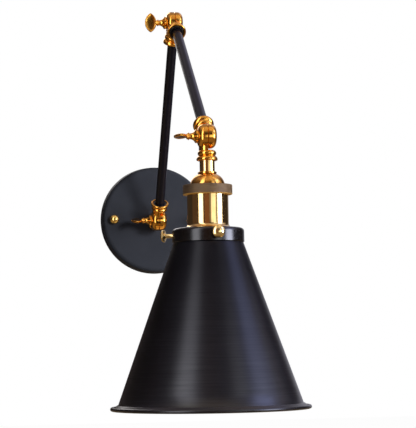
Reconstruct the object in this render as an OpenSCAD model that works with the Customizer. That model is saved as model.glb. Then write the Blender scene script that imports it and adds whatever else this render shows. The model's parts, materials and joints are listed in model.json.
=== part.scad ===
// Swing arm wall lamp: round wall plate, two tube arms on three half-lap swivel
// joints, a brass screw lampholder and a cone shade held by three thumb screws.
// The wall is the plane Y = 0, the lamp reaches towards -Y, X is to the right and
// Z is up. The origin is the centre of the wall plate on the wall.

/* [Wall plate] */
// Diameter of the wall plate at the wall
plate_d = 120; // [110:1:160]
// Depth of the wall plate, from the wall to its front face
plate_depth = 18; // [16:0.5:30]
// Sheet thickness of the wall plate
plate_wall = 1.2; // [0.8:0.1:2]
// Radius of the wall plate's rounded front edge
plate_edge_r = 4.5; // [3:0.5:7]
// How much narrower the wall plate's side is at the front, per side
plate_draft = 1.2; // [0:0.1:2]
// Distance between the two ball nuts
stud_spacing = 93.4; // [91:0.2:98]
// Diameter of the ball nuts
ball_nut_d = 10.6; // [9:0.1:14]
// Diameter of the studs that carry the ball nuts
stud_d = 4; // [3:0.5:5]

/* [Mounting strap] */
// Width of the strap
strap_w = 18; // [14:0.5:26]
// Sheet thickness of the strap
strap_t = 2; // [1.5:0.1:3]
// Distance between the two wall screw slots
slot_spacing = 60; // [46:1:60]
// Length of a wall screw slot, end to end
slot_length = 12; // [8:0.5:13]
// Width of a wall screw slot
slot_w = 5; // [4:0.1:6]
// Diameter of the cable hole in the middle of the strap
cable_hole_d = 12; // [8:0.5:14]

/* [Swivel joints] */
// Diameter of the swivel discs
disc_d = 22.6; // [20:0.2:26]
// Width of a joint across both of its halves
joint_w = 16.8; // [14:0.2:20]
// How far the base joint sits below the middle of the wall plate
joint_drop = 3; // [0:0.5:8]
// Radius of the rounded outer edge of a swivel disc
disc_edge_r = 5.4; // [2:0.1:6.5]
// Diameter of the half-round stem between a disc and its bead
stem_d = 14.8; // [11:0.1:15.4]
// Gap between a disc and the bead of the other half
bead_gap = 1.5; // [0.8:0.1:3]
// Diameter of the bead
bead_d = 17.1; // [15:0.1:19]
// Height of the bead
bead_h = 5.7; // [4:0.1:7]
// Outer diameter of the cup that holds a tube
cup_d = 19.5; // [18:0.1:24]
// Height of the cup
cup_h = 4; // [3.6:0.1:9]
// Wall thickness of the cup at its mouth
cup_wall = 2; // [1.4:0.1:2.4]
// Depth of the recess in the mouth of the cup
cup_recess = 3.4; // [2:0.1:4]
// Diameter of the wing screws' shanks
wing_screw_d = 5; // [4:0.5:6]

/* [Wing screws] */
// Diameter of the bell under the wing
bell_d = 12.5; // [10:0.1:16]
// Distance from the joint to the wing
bell_l = 9.8; // [8:0.1:14]
// Length of the wing along the screw
wing_l = 12; // [8:0.1:16]
// Width of the wing across the screw
wing_w = 20.2; // [14:0.2:28]
// Thickness of the wing
wing_t = 2.4; // [1.6:0.1:4]

/* [Arms] */
// Length of the lower arm, from the base joint to the elbow joint
lower_arm_l = 236.4; // [140:0.2:400]
// Length of the upper arm, from the elbow joint to the head joint
upper_arm_l = 236.4; // [140:0.2:400]
// Diameter of the arm tubes
tube_d = 10; // [8:0.5:11.5]
// Wall thickness of the arm tubes
tube_wall = 1; // [0.8:0.1:1.5]
// Angle of the lower arm, from straight up towards the room
lower_lean = 34.8; // [0:0.1:120]
// Angle of the upper arm, from straight up towards the room
upper_lean = 127; // [90:0.1:160]
// Height of the black lock ring above the floor of the cup's recess
lock_ring_h = 3; // [2:0.1:5]

/* [Lampholder] */
// Diameter of the neck tube
neck_d = 13.8; // [11.5:0.1:15]
// Length of the neck tube that shows
neck_l = 10.2; // [4:0.1:30]
// Diameter of the small step at the top of the cap
cap_step_d = 17.2; // [14.6:0.1:19]
// Height of the cap, with its step
cap_h = 12.1; // [9:0.1:20]
// Diameter of the cap at the collar
cap_d = 31.8; // [28:0.1:35]
// Diameter of the collar
collar_d = 45.2; // [41:0.1:54]
// Height of the collar
collar_h = 8.8; // [6:0.1:14]
// Diameter of the holder's body
body_d = 37.8; // [36.2:0.1:40]
// Height of the holder's body from the collar to the gallery
body_h = 30.7; // [24:0.1:50]
// Radius of the hollow curve of the body's foot
foot_r = 3.4; // [2:0.1:5]
// Sheet thickness of the brass shells
shell_wall = 1; // [0.6:0.1:1.2]
// Inner diameter of the screw shell, for an E27 bulb
bulb_thread_d = 26.8; // [26:0.1:27.4]
// Length of the screw shell
bulb_thread_l = 25; // [18:0.5:30]

/* [Shade gallery] */
// Diameter of the gallery
gallery_d = 65.5; // [62.5:0.5:80]
// Height of the gallery
gallery_h = 12.8; // [10:0.1:20]
// Radius of the gallery's rounded top edge
gallery_edge_r = 3.2; // [2:0.1:6]
// Sheet thickness of the gallery
gallery_wall = 1.2; // [0.8:0.1:1.6]
// Direction of the first thumb screw, from the front towards the right
screw_turn = 3; // [-30:1:30]
// How far the rear thumb screw is turned from the even spacing, towards the wall
rear_screw_turn = 7; // [0:1:15]
// Diameter of the thumb screws' shanks
thumb_screw_d = 3.8; // [3:0.1:4.4]
// Diameter of the thumb screws' heads
thumb_head_d = 11.4; // [8:0.1:16]
// Thickness of the thumb screws' heads
thumb_head_h = 3.8; // [3:0.1:6]
// Length of a thumb screw's shank outside the gallery
thumb_reach = 9.2; // [4:0.1:16]

/* [Shade] */
// Diameter of the shade's neck inside the gallery
shade_neck_d = 56; // [50:0.5:58]
// Diameter of the cone at its top
shade_top_d = 64.1; // [61:0.1:65]
// Diameter of the cone at its foot
shade_foot_d = 167.8; // [110:0.2:240]
// Height of the cone
shade_cone_h = 145.5; // [60:0.5:260]
// Width of the flared rim, from the cone to the middle of its bead
shade_rim_w = 5.2; // [3:0.1:12]
// Diameter of the rolled bead at the rim
shade_bead_d = 3.6; // [2.4:0.1:6]
// Sheet thickness of the shade
shade_wall = 0.8; // [0.6:0.1:1.4]

/* [Clearances] */
// Radial clearance of a screw that turns in its hole
running_fit = 0.05; // [0.02:0.01:0.09]
// Gap between the two halves of a joint
joint_gap = 0.1; // [0.05:0.05:0.3]
// Radial clearance of pieces that are pushed or screwed together
seat_fit = 0.05; // [0.02:0.01:0.2]
// Gap between the shade's neck and a thumb screw's tip
tip_gap = 0.3; // [0.2:0.05:0.6]

/* [Hidden] */
$fn = 64;
eps = 0.01;

plate_r = plate_d / 2;
stud_r = stud_d / 2;
stud_x = stud_spacing / 2;
ball_nut_r = ball_nut_d / 2;
ball_nut_base = 1.2; // height of the cylinder under the ball
ball_nut_rise = ball_nut_r * 0.75; // ball centre above the base
plate_hole_fit = 0.3;

strap_lift = 3.5; // height of the raised strap ends over the wall
strap_end = 6.5; // strap beyond a stud
strap_half = stud_x + strap_end;
ramp_out = stud_x - 4.5; // where the ramp reaches the raised end
ramp_in = ramp_out - strap_lift;
stud_head_r = stud_d * 0.9;
stud_head_h = 2.2;
earth_x = (cable_hole_d / 2 + slot_spacing / 2 - slot_length / 2) / 2;
earth_r = 1.5;
earth_head_r = 2.6;
earth_head_h = 1.8;
earth_washer_h = 0.8;

nipple_r = 4.95;
nipple_bore_r = 3.2;
nut_h = 3;
nut_flats = 15;
nut_corner_r = nut_flats / 2 / cos(30);
washer_h = 0.8;
washer_r = 8.5;

disc_r = disc_d / 2;
half_w = joint_w / 2;
stem_r = stem_d / 2;
bead_z = disc_r + bead_gap;
bead_round = bead_h / 2;
bead_r = bead_d / 2;
cup_r = cup_d / 2;
cup_z = bead_z + bead_h;
cup_lip_r = cup_wall * 0.55; // radius of the cup's rounded lip
casting_l = cup_z + cup_h; // from the pivot to the mouth of the cup
cup_groove = 0.8; // how far the cup's round shoulder runs into the bead
cup_round = cup_h - cup_lip_r + cup_groove; // radius of that shoulder
recess_z = casting_l - cup_recess;
socket_z = bead_z + 1; // floor of the tube's socket
split_chamfer = 0.8;
pin_r = wing_screw_d / 2;
pin_bore_r = pin_r + running_fit;
pin_bore_floor = 1.6; // metal left behind the end of a blind bore
pin_end_gap = 0.5;
wire_space_r = disc_r - 2.4; // room for the wires round the screw, inside the discs
wire_space_l = half_w - 3.4;
wire_post_r = pin_bore_r + 1.4;
wire_hole_r = 2;
wire_hole_x = 2.9;

base_reach = plate_depth + casting_l;
base_pivot = [0, -base_reach, -joint_drop];
elbow_pivot = base_pivot + along(lower_lean, lower_arm_l);
head_pivot = elbow_pivot + along(upper_lean, upper_arm_l);

tube_r = tube_d / 2;
socket_r = tube_r + seat_fit;
lock_ring_gap = 0.45; // between a lock ring and the wall of its recess
lock_ring_r = cup_r - cup_wall - lock_ring_gap;
lock_ring_bevel = 0.7;

bell_r = bell_d / 2;
bell_chamfer = 0.4;
bell_edge = 2.2; // height of the bell's full width
waist_r = 2.7;
waist_z = bell_l - 2.5; // where the bell has narrowed to its waist
waist_bead_r = 0.75; // radius of the bead round the waist
wing_inset = 1.2; // length of the waist inside the wing
wing_edge_r = 0.9;
base_wing_turn = 104;
elbow_wing_turn = 0;
head_wing_turn = 88;

neck_r = neck_d / 2;
neck_z = casting_l + neck_l; // top of the cap's step, below the head pivot
neck_foot_r = lock_ring_r;
cap_step_h = 2;
cap_step_r = cap_step_d / 2;
collar_z = neck_z + cap_h;
cap_r = cap_d / 2;
dome_sink = 0.8; // how far the centre of the dome's curve lies inside the collar
dome_h = cap_h + dome_sink - cap_step_h;
dome_ledge = 0.8; // width of the step beyond the top of the dome
dome_in = cap_r - cap_step_r + dome_ledge;
dome_r = (dome_h * dome_h + dome_in * dome_in) / (2 * dome_in);
dome_x = cap_r - dome_r;
dome_z = collar_z + dome_sink;
cap_nut_fit = 0.3; // between the corners of the lock nut and the dome
cap_nut_z = max(neck_z + cap_step_h + shell_wall,
    dome_z - sqrt(pow(dome_r - shell_wall, 2) - pow(nut_corner_r + cap_nut_fit - dome_x, 2)));
cap_skirt = collar_h / 2;
collar_r = collar_d / 2;
collar_bevel = 0.6;
body_z = collar_z + collar_h; // where the body comes out of the collar
body_r = body_d / 2;
body_in_collar = 3.6;
gallery_z = body_z + body_h; // top of the gallery
foot_lip = 0.8;
insert_r = body_r - shell_wall - 0.3;
insert_z = body_z + 1.5;
gallery_hole_r = insert_r + 0.3;
thread_r = bulb_thread_d / 2;
thread_wall = 0.8;
thread_z = gallery_z + 1; // top of the screw shell
thread_web_h = 0.8;
insert_end = thread_z + bulb_thread_l + 1;
contact_w = 6;
contact_t = 0.5;
contact_rise = 3;
terminal_r = 1.75;
terminal_x = 10;
terminal_h = 2;
ring_nut_w = 6;
ring_nut_h = 4;
ring_nut_notches = 12;

gallery_r = gallery_d / 2;
gallery_foot_z = gallery_z + gallery_h;
thumb_z = gallery_z + gallery_edge_r + (gallery_h - gallery_edge_r) * 0.25;
thumb_r = thumb_screw_d / 2;
thumb_head_r = thumb_head_d / 2;
thumb_back_h = thumb_head_h * 0.35; // height of the head's back and edge
thumb_dome_h = thumb_head_h - thumb_back_h;
thumb_dome_r = (thumb_head_r * thumb_head_r + thumb_dome_h * thumb_dome_h) / (2 * thumb_dome_h);
thumb_boss_r = thumb_r * 1.5;

shade_neck_r = shade_neck_d / 2;
neck_bead_r = 0.9; // radius of the rolled bead round the top of the shade's neck
shade_z = gallery_foot_z + 0.9; // top of the cone
shade_top_r = shade_top_d / 2;
shade_foot_r = shade_foot_d / 2;
shade_foot_z = shade_z + shade_cone_h;
shade_bead_r = shade_bead_d / 2;
rim_drop = shade_rim_w * 0.55;
rim_r = shade_foot_r + shade_rim_w;
rim_z = shade_foot_z + rim_drop;
ridge_r = 0.9;

// A step of a given length at an angle from straight up towards the room
function along(lean, l) = [0, -l * sin(lean), l * cos(lean)];

// Turns a shape that stands on XY to face the room from the wall
module from_wall() {
    rotate([90, 0, 0]) children();
}

// The same for what goes through the plate at the base joint
module behind_joint() {
    from_wall() translate([0, -joint_drop, 0]) children();
}

// Puts a shape that stands on XY at a joint, pointing at an angle from straight up
module at_joint(pivot, lean) {
    translate(pivot) rotate([lean, 0, 0]) children();
}

// Head pieces are drawn with Z running down from the head pivot
module below_head() {
    at_joint(head_pivot, 180) children();
}

module quarter_round(r) {
    intersection() {
        circle(r);
        square(r);
    }
}

module ring(r, bore_r, h) {
    difference() {
        cylinder(r = r, h = h);
        translate([0, 0, -eps]) cylinder(r = bore_r, h = h + 2 * eps);
    }
}

// Outline of a round pan: open at the bottom, closed at the top, with a rounded edge
module pan_outline(r, h, edge_r, draft) {
    polygon([[0, 0], [r, 0], [r - draft, h - edge_r], [0, h - edge_r]]);
    translate([0, h - edge_r - eps]) square([r - draft - edge_r, edge_r + eps]);
    translate([r - draft - edge_r, h - edge_r]) quarter_round(edge_r);
}

module pan(r, h, edge_r, wall, draft) {
    rotate_extrude() difference() {
        pan_outline(r, h, edge_r, draft);
        translate([0, -eps]) pan_outline(r - wall, h - wall + eps, edge_r - wall, draft);
    }
}

module wall_plate() {
    color([0.11, 0.11, 0.12])
    difference() {
        from_wall() pan(plate_r, plate_depth, plate_edge_r, plate_wall, plate_draft);
        behind_joint() translate([0, 0, plate_depth / 2])
            cylinder(r = nipple_r + plate_hole_fit, h = plate_depth);
        for (side = [-1, 1]) {
            from_wall() translate([side * stud_x, 0, plate_depth / 2])
                cylinder(r = stud_r + plate_hole_fit, h = plate_depth);
        }
    }
}

// Side view of the strap: flat on the wall in the middle, raised at both ends
module strap_profile() {
    polygon([
        [-strap_half, strap_lift], [-ramp_out, strap_lift], [-ramp_in, 0],
        [ramp_in, 0], [ramp_out, strap_lift], [strap_half, strap_lift],
        [strap_half, strap_lift + strap_t], [ramp_out - 1, strap_lift + strap_t],
        [ramp_in - 1, strap_t], [1 - ramp_in, strap_t],
        [1 - ramp_out, strap_lift + strap_t], [-strap_half, strap_lift + strap_t]
    ]);
}

module strap_slot() {
    straight = slot_length - slot_w;
    for (end = [-1, 1]) {
        translate([end * straight / 2, 0, -eps]) cylinder(d = slot_w, h = strap_t + 2 * eps);
    }
    translate([-straight / 2, -slot_w / 2, -eps]) cube([straight, slot_w, strap_t + 2 * eps]);
}

module mounting_strap() {
    color([0.72, 0.72, 0.7])
    from_wall() difference() {
        intersection() {
            translate([0, strap_w / 2, 0]) rotate([90, 0, 0]) linear_extrude(strap_w) strap_profile();
            union() {
                for (side = [-1, 1]) {
                    translate([side * (strap_half - strap_w / 2), 0, 0])
                        cylinder(d = strap_w, h = strap_lift + strap_t + 1);
                }
                translate([strap_w / 2 - strap_half, -strap_w / 2, 0])
                    cube([2 * strap_half - strap_w, strap_w, strap_lift + strap_t + 1]);
            }
        }
        translate([0, 0, -eps]) cylinder(d = cable_hole_d, h = strap_t + 2 * eps);
        translate([earth_x, 0, -eps]) cylinder(r = earth_r + seat_fit, h = strap_t + 2 * eps);
        for (side = [-1, 1]) {
            translate([side * slot_spacing / 2, 0, 0]) strap_slot();
            translate([side * stud_x, 0, strap_lift - eps])
                cylinder(r = stud_r + seat_fit, h = strap_t + 2 * eps);
        }
    }
}

module strap_studs() {
    color([0.72, 0.72, 0.7])
    from_wall() for (side = [-1, 1]) {
        translate([side * stud_x, 0, strap_lift - stud_head_h]) {
            cylinder(r = stud_head_r, h = stud_head_h);
            cylinder(r = stud_r, h = plate_depth + ball_nut_r - strap_lift + stud_head_h);
        }
    }
}

module ball_nut() {
    difference() {
        union() {
            translate([0, 0, ball_nut_rise]) intersection() {
                sphere(r = ball_nut_r);
                translate([0, 0, ball_nut_base / 2 + ball_nut_r - ball_nut_rise])
                    cube([ball_nut_d, ball_nut_d, ball_nut_d], center = true);
            }
            cylinder(r = ball_nut_r * 0.78, h = ball_nut_base);
        }
        translate([0, 0, -eps]) cylinder(r = stud_r + seat_fit, h = ball_nut_r + 0.5);
    }
}

module ball_nuts() {
    color([0.92, 0.72, 0.28])
    from_wall() for (side = [-1, 1]) {
        translate([side * stud_x, 0, plate_depth]) ball_nut();
    }
}

module earth_screw() {
    color([0.8, 0.65, 0.3])
    from_wall() translate([earth_x, 0, 0]) {
        cylinder(r = earth_r, h = strap_t + earth_washer_h + eps);
        translate([0, 0, strap_t]) cylinder(r = earth_head_r + 0.6, h = earth_washer_h);
        translate([0, 0, strap_t + earth_washer_h]) difference() {
            cylinder(r = earth_head_r, h = earth_head_h);
            translate([-earth_head_r, -0.4, earth_head_h - 0.8]) cube([2 * earth_head_r, 0.8, 1]);
        }
    }
}

module base_nipple() {
    from = plate_depth - plate_wall - washer_h - nut_h - 2;
    color([0.72, 0.72, 0.7])
    behind_joint() translate([0, 0, from])
        ring(nipple_r, nipple_bore_r, base_reach - socket_z - 0.5 - from);
}

module base_washer() {
    color([0.72, 0.72, 0.7])
    behind_joint() translate([0, 0, plate_depth - plate_wall - washer_h])
        ring(washer_r, nipple_r + seat_fit, washer_h);
}

module hex_nut(bore_r) {
    difference() {
        cylinder(r = nut_corner_r, h = nut_h, $fn = 6);
        translate([0, 0, -eps]) cylinder(r = bore_r, h = nut_h + 2 * eps);
    }
}

module base_locknut() {
    color([0.72, 0.72, 0.7])
    behind_joint() translate([0, 0, plate_depth - plate_wall - washer_h - nut_h])
        hex_nut(nipple_r + seat_fit);
}

// Half of a swivel disc: flat on the split, rounded on the outside
module disc_profile() {
    first = joint_gap / 2;
    difference() {
        union() {
            translate([0, first]) square([disc_r - disc_edge_r, half_w - first]);
            translate([0, first]) square([disc_r, half_w - disc_edge_r - first]);
            translate([disc_r - disc_edge_r, half_w - disc_edge_r]) quarter_round(disc_edge_r);
        }
        translate([disc_r, first]) rotate(45) square(split_chamfer, center = true);
    }
}

// Bead and round-shouldered cup at the end of a joint half
module cup_profile() {
    lip_z = casting_l - cup_lip_r;
    difference() {
        union() {
            translate([0, bead_z]) square([bead_r - bead_round, bead_h]);
            translate([bead_r - bead_round, bead_z + bead_round]) circle(bead_round);
            translate([0, lip_z - cup_round]) square([cup_r - cup_round, cup_round + cup_lip_r]);
            intersection() {
                translate([cup_r - cup_round, lip_z]) circle(cup_round);
                translate([0, lip_z - cup_round]) square([cup_r, cup_round]);
            }
            translate([0, lip_z]) square([cup_r - cup_lip_r, cup_lip_r]);
            translate([cup_r - cup_lip_r, lip_z]) circle(cup_lip_r);
        }
        translate([0, recess_z]) square([cup_r - cup_wall, cup_recess + 1]);
    }
}

// One half of a swivel joint. It lies on the +X side of the pivot for side = 1 and on
// the -X side for side = -1, and its stem, bead and cup point along +Z. The half on
// the -X side has a hole right through, and the other one holds the screw's thread.
// The wires pass from the socket through the stem and round the screw to the other half.
module joint_half(side, bore_r = socket_r) {
    blind = half_w - pin_bore_floor;
    difference() {
        union() {
            rotate([0, side * 90, 0]) rotate_extrude() disc_profile();
            intersection() {
                cylinder(r = stem_r, h = bead_z + bead_round);
                translate([side > 0 ? joint_gap / 2 : -half_w, -stem_r, 0])
                    cube([half_w - joint_gap / 2, stem_d, bead_z + bead_round]);
            }
            rotate_extrude() cup_profile();
        }
        translate([0, 0, socket_z]) cylinder(r = bore_r, h = casting_l);
        translate([side * wire_hole_x, 0, wire_space_r - 1])
            cylinder(r = wire_hole_r, h = socket_z - wire_space_r + 1 + eps);
        rotate([0, side * 90, 0]) translate([0, 0, -eps]) {
            cylinder(r = pin_bore_r, h = side < 0 ? joint_w : blind);
            ring(wire_space_r, wire_post_r, wire_space_l);
        }
    }
}

module cast_colour() {
    color([0.78, 0.47, 0.14]) children();
}

module base_fixed_knuckle() {
    cast_colour() at_joint(base_pivot, -90) joint_half(1, nipple_r + seat_fit);
}

module lower_arm_base_knuckle() {
    cast_colour() at_joint(base_pivot, lower_lean) joint_half(-1);
}

module lower_arm_elbow_knuckle() {
    cast_colour() at_joint(elbow_pivot, lower_lean + 180) joint_half(-1);
}

module upper_arm_elbow_knuckle() {
    cast_colour() at_joint(elbow_pivot, upper_lean) joint_half(1);
}

module upper_arm_head_knuckle() {
    cast_colour() at_joint(head_pivot, upper_lean + 180) joint_half(1);
}

module head_knuckle() {
    cast_colour() below_head() joint_half(-1, nipple_r + seat_fit);
}

module arm_tube(l) {
    end = socket_z + 0.3;
    translate([0, 0, end]) ring(tube_r, tube_r - tube_wall, l - 2 * end);
}

// Black ring in the mouth of a cup, round the tube
module lock_ring() {
    rotate_extrude() difference() {
        translate([socket_r, recess_z]) square([lock_ring_r - socket_r, lock_ring_h]);
        translate([lock_ring_r, recess_z + lock_ring_h]) rotate(45)
            square(lock_ring_bevel * sqrt(2), center = true);
    }
}

module lock_rings(l) {
    lock_ring();
    translate([0, 0, l]) mirror([0, 0, 1]) lock_ring();
}

module lower_arm_tube() {
    color([0.07, 0.07, 0.08]) at_joint(base_pivot, lower_lean) arm_tube(lower_arm_l);
}

module lower_arm_lock_rings() {
    color([0.03, 0.03, 0.03]) at_joint(base_pivot, lower_lean) lock_rings(lower_arm_l);
}

module upper_arm_tube() {
    color([0.12, 0.12, 0.15]) at_joint(elbow_pivot, upper_lean) arm_tube(upper_arm_l);
}

module upper_arm_lock_rings() {
    color([0.03, 0.03, 0.03]) at_joint(elbow_pivot, upper_lean) lock_rings(upper_arm_l);
}

// A round plate with rounded edges, from which the wing is cut
module rounded_plate(r) {
    rotate_extrude() {
        square([r - wing_edge_r, wing_t / 2]);
        square([r, wing_t / 2 - wing_edge_r]);
        translate([r - wing_edge_r, wing_t / 2 - wing_edge_r]) quarter_round(wing_edge_r);
    }
}

// Leaf-shaped wing in the plane XY, long across the screw (Y), short along it (X)
module wing() {
    side_r = (wing_w * wing_w + wing_l * wing_l) / (4 * wing_l);
    for (face = [0, 1]) {
        mirror([0, 0, face]) intersection() {
            translate([side_r - wing_l / 2, 0, 0]) rounded_plate(side_r);
            translate([wing_l / 2 - side_r, 0, 0]) rounded_plate(side_r);
            rounded_plate(wing_w / 2 - 0.3);
        }
    }
}

// Bell, waist and shank, drawn along +Z away from the joint's face
module bell_profile() {
    fall = bell_r - bell_chamfer - waist_r;
    curve_r = (fall * fall + pow(waist_z - bell_edge, 2)) / (2 * fall);
    union() {
        square([waist_r, bell_l + wing_inset]);
        difference() {
            square([bell_r, waist_z]);
            translate([waist_r + curve_r, waist_z]) circle(curve_r);
            translate([bell_r, 0]) rotate(45) square(bell_chamfer * sqrt(2), center = true);
        }
        translate([waist_r, (waist_z + bell_l) / 2 - 0.1]) circle(waist_bead_r);
    }
}

// The screw lies along X with its wing on the -X side of the joint
module wing_screw() {
    shank_l = joint_w - pin_bore_floor - pin_end_gap;
    translate([-half_w - joint_gap, 0, 0]) {
        rotate([0, -90, 0]) rotate_extrude() bell_profile();
        rotate([0, 90, 0]) translate([0, 0, -eps]) cylinder(r = pin_r, h = shank_l);
        translate([-bell_l - wing_l / 2, 0, 0]) rotate([90, 0, 0]) wing();
    }
}

module base_wing_screw() {
    color([0.85, 0.6, 0.22]) at_joint(base_pivot, base_wing_turn) wing_screw();
}

module elbow_wing_screw() {
    color([0.85, 0.6, 0.22]) at_joint(elbow_pivot, elbow_wing_turn) wing_screw();
}

module head_wing_screw() {
    color([0.85, 0.6, 0.22]) at_joint(head_pivot, head_wing_turn) wing_screw();
}

module head_nipple() {
    from = socket_z + 0.5;
    color([0.72, 0.72, 0.7])
    below_head() translate([0, 0, from])
        ring(nipple_r, nipple_bore_r, cap_nut_z + nut_h + 0.5 - from);
}

module head_neck() {
    color([0.86, 0.66, 0.3])
    below_head() difference() {
        union() {
            translate([0, 0, recess_z]) cylinder(r = neck_foot_r, h = cup_recess - 0.4);
            translate([0, 0, recess_z]) cylinder(r = neck_r, h = neck_z - recess_z);
        }
        translate([0, 0, recess_z - eps])
            cylinder(r = nipple_r + seat_fit, h = neck_z - recess_z + 2 * eps);
    }
}

// Domed cap: a small step, a round shoulder and a skirt inside the collar
module socket_cap() {
    color([0.86, 0.62, 0.26])
    below_head() rotate_extrude() difference() {
        union() {
            intersection() {
                translate([dome_x, dome_z]) circle(dome_r);
                translate([0, neck_z + cap_step_h - 0.1]) square([cap_r + 1, dome_h + 0.1 + eps]);
            }
            translate([0, neck_z]) square([cap_step_r, cap_step_h]);
            translate([0, dome_z]) square([cap_r, cap_skirt - dome_sink]);
        }
        intersection() {
            translate([dome_x, dome_z]) circle(dome_r - shell_wall);
            translate([0, cap_nut_z]) square([cap_r, cap_h]);
        }
        translate([0, dome_z]) square([cap_r - shell_wall, cap_skirt + 1]);
        translate([0, neck_z - 1]) square([nipple_r + seat_fit, cap_nut_z - neck_z + 2]);
    }
}

module cap_locknut() {
    color([0.72, 0.72, 0.7])
    below_head() translate([0, 0, cap_nut_z]) hex_nut(nipple_r + seat_fit);
}

module socket_collar() {
    color([0.42, 0.35, 0.26])
    below_head() translate([0, 0, collar_z]) rotate_extrude() difference() {
        translate([cap_r + seat_fit, 0]) square([collar_r - cap_r - seat_fit, collar_h]);
        translate([0, collar_h - body_in_collar]) square([body_r + seat_fit, collar_h]);
        for (z = [0, collar_h]) {
            translate([collar_r, z]) rotate(45) square(collar_bevel * sqrt(2), center = true);
        }
    }
}

// Straight brass shell whose foot flares out onto the gallery
module socket_body() {
    top = body_z - body_in_collar;
    color([0.9, 0.72, 0.36])
    below_head() rotate_extrude() difference() {
        union() {
            translate([0, top]) square([body_r, gallery_z - top]);
            difference() {
                translate([0, gallery_z - foot_lip - foot_r]) square([body_r + foot_r, foot_r]);
                translate([body_r + foot_r, gallery_z - foot_lip - foot_r]) circle(foot_r);
            }
            translate([0, gallery_z - foot_lip]) square([body_r + foot_r, foot_lip]);
        }
        translate([0, top - 1]) square([body_r - shell_wall, gallery_z - top + 2]);
    }
}

// Insulating insert: solid above with its terminals, hollow below for the bulb's cap
module socket_insert() {
    color([0.9, 0.88, 0.82])
    below_head() difference() {
        translate([0, 0, insert_z]) cylinder(r = insert_r, h = insert_end - insert_z);
        translate([0, 0, thread_z - contact_rise - 1])
            cylinder(r = thread_r + thread_wall + seat_fit, h = insert_end);
        for (side = [-1, 1]) {
            translate([side * terminal_x, 0, insert_z - eps])
                cylinder(r = terminal_r + seat_fit, h = 6);
        }
    }
}

module terminal_screws() {
    color([0.85, 0.7, 0.35])
    below_head() for (side = [-1, 1]) {
        translate([side * terminal_x, 0, insert_z - terminal_h]) difference() {
            union() {
                cylinder(r = terminal_r * 1.8, h = terminal_h);
                cylinder(r = terminal_r, h = terminal_h + 5);
            }
            translate([-terminal_r * 2, -0.4, -eps]) cube([terminal_r * 4, 0.8, 0.8]);
        }
    }
}

module screw_shell() {
    color([0.85, 0.7, 0.4])
    below_head() translate([0, 0, thread_z]) {
        ring(thread_r + thread_wall, thread_r, bulb_thread_l);
        ring(thread_r + thread_wall, thread_r * 0.6, thread_web_h);
    }
}

// Leaf spring in the middle of the holder that meets the tip of the bulb's cap
module centre_contact() {
    floor_z = thread_z - contact_rise - 1;
    color([0.85, 0.6, 0.35])
    below_head() translate([0, -contact_w / 2, floor_z]) {
        translate([-contact_w, 0, 0]) cube([contact_w, contact_w, contact_t]);
        translate([0, 0, 0]) rotate([0, -25, 0]) cube([contact_w, contact_w, contact_t]);
    }
}

// Black pan, closed at the top, that holds the shade
module shade_gallery() {
    color([0.06, 0.06, 0.07])
    translate(head_pivot - [0, 0, gallery_foot_z]) difference() {
        pan(gallery_r, gallery_h, gallery_edge_r, gallery_wall, 0);
        translate([0, 0, gallery_h / 2]) cylinder(r = gallery_hole_r, h = gallery_h);
        thumb_places() translate([0, 0, gallery_r / 2])
            cylinder(r = thumb_r + running_fit, h = gallery_r);
    }
}

// Ring nut on the insert that clamps the gallery from below
module gallery_ring_nut() {
    nut_r = insert_r + ring_nut_w;
    color([0.86, 0.66, 0.3])
    below_head() translate([0, 0, gallery_z + gallery_wall]) difference() {
        ring(nut_r, insert_r + seat_fit, ring_nut_h);
        for (i = [0 : ring_nut_notches - 1]) {
            rotate(i * 360 / ring_nut_notches) translate([nut_r, 0, 1])
                cylinder(r = 1, h = ring_nut_h);
        }
    }
}

// Turns the Z axis of a thumb screw to lie level and point out of the gallery
module thumb_place(i) {
    turn = screw_turn + i * 120 + (i == 1 ? rear_screw_turn : 0);
    rotate([0, 0, turn]) rotate([90, 0, 0]) children();
}

module thumb_places() {
    translate([0, 0, gallery_foot_z - thumb_z]) for (i = [0 : 2]) thumb_place(i) children();
}

module thumb_profile() {
    head_z = gallery_r + thumb_reach;
    tip_z = shade_neck_r + tip_gap;
    translate([0, tip_z]) square([thumb_r, head_z - tip_z + eps]);
    translate([0, head_z - 1]) square([thumb_boss_r, 1 + eps]);
    translate([0, head_z]) square([thumb_head_r - thumb_back_h / 2, thumb_back_h]);
    translate([thumb_head_r - thumb_back_h / 2, head_z + thumb_back_h / 2]) circle(thumb_back_h / 2);
    intersection() {
        translate([0, head_z + thumb_head_h - thumb_dome_r]) circle(thumb_dome_r);
        translate([0, head_z + thumb_back_h]) square([thumb_head_r, thumb_head_h]);
    }
}

module thumb_screw(i) {
    color([0.95, 0.75, 0.3])
    translate(head_pivot - [0, 0, thumb_z]) thumb_place(i) rotate_extrude() thumb_profile();
}

module shade_screw_front() {
    thumb_screw(0);
}

module shade_screw_right() {
    thumb_screw(1);
}

module shade_screw_left() {
    thumb_screw(2);
}

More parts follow.
